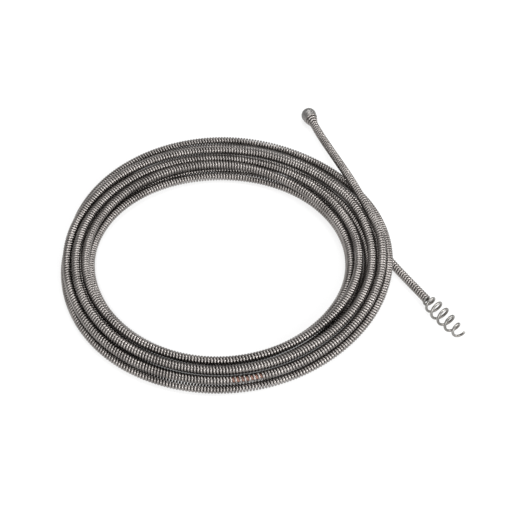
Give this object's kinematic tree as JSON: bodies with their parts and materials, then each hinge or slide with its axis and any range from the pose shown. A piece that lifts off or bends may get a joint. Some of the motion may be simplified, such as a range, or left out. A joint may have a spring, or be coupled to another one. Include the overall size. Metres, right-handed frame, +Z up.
{
  "type": "drain auger",
  "caption": "Coiled close-wound spring cable for clearing drains, with a closed bulb at one free end and an open corkscrew at the other.",
  "frame": {"origin": "middle of the whole object's bounding box, on the plane the coil lies on", "axes": "+Z up, out of the coil's plane; +Y from the near side of the coil to the far side, where the bulb's end points; +X to the side where the corkscrew's end leaves"},
  "size_m": [0.349, 0.3306, 0.0244],
  "materials": {
    "spring_steel": "drawn spring wire, oiled, dark grey",
    "ground_steel": "ground and rounded",
    "core_sheath": "red-brown, satin"
  },
  "bodies": {
    "coil": {"turn_1": "spring_steel", "turn_2": "spring_steel", "turn_3": "spring_steel", "turn_4": "spring_steel", "turn_5": "spring_steel", "turn_6": "spring_steel", "turn_7": "spring_steel", "turn_8": "spring_steel", "turn_9": "spring_steel", "bulb_run": "spring_steel", "auger_run": "spring_steel"},
    "bulb_swing": {"bulb_neck": "spring_steel"},
    "bulb_lift": {"bulb_shank": "spring_steel", "bulb_head": "spring_steel", "bulb_nose": "ground_steel", "bulb_core": "core_sheath"},
    "auger_swing": {"auger_neck": "spring_steel"},
    "auger_lift": {"auger_shank": "spring_steel", "auger_collar": "spring_steel", "auger_core": "core_sheath", "core_cap": "ground_steel"},
    "corkscrew": {"auger_tip": "spring_steel"}
  },
  "joints": [
    {"name": "bulb_end_swings", "type": "hinge", "parent": "coil", "child": "bulb_swing", "pos_m": [0.08544, 0.06794, 0.01765], "axis": [0, 0, 1], "range_deg": [-15, 5], "stiffness_Nm_per_rad": 0.3},
    {"name": "bulb_end_lifts", "type": "hinge", "parent": "bulb_swing", "child": "bulb_lift", "pos_m": [0.07701, 0.09147, 0.0138], "axis": [0.9415, 0.3371, 0], "range_deg": [0, 25], "stiffness_Nm_per_rad": 0.3},
    {"name": "auger_end_swings", "type": "hinge", "parent": "coil", "child": "auger_swing", "pos_m": [0.12211, -0.0289, 0.00405], "axis": [0, 0, 1], "range_deg": [-15, 15], "stiffness_Nm_per_rad": 0.3},
    {"name": "auger_end_lifts", "type": "hinge", "parent": "auger_swing", "child": "auger_lift", "pos_m": [0.13149, -0.04426, 0.0049], "axis": [-0.8536, -0.521, 0], "range_deg": [0, 25], "stiffness_Nm_per_rad": 0.3},
    {"name": "corkscrew_flexes", "type": "hinge", "parent": "auger_lift", "child": "corkscrew", "pos_m": [0.1466, -0.06901, 0.0071], "axis": [0, 0, 1], "range_deg": [-14, 14], "stiffness_Nm_per_rad": 0.3}
  ]
}
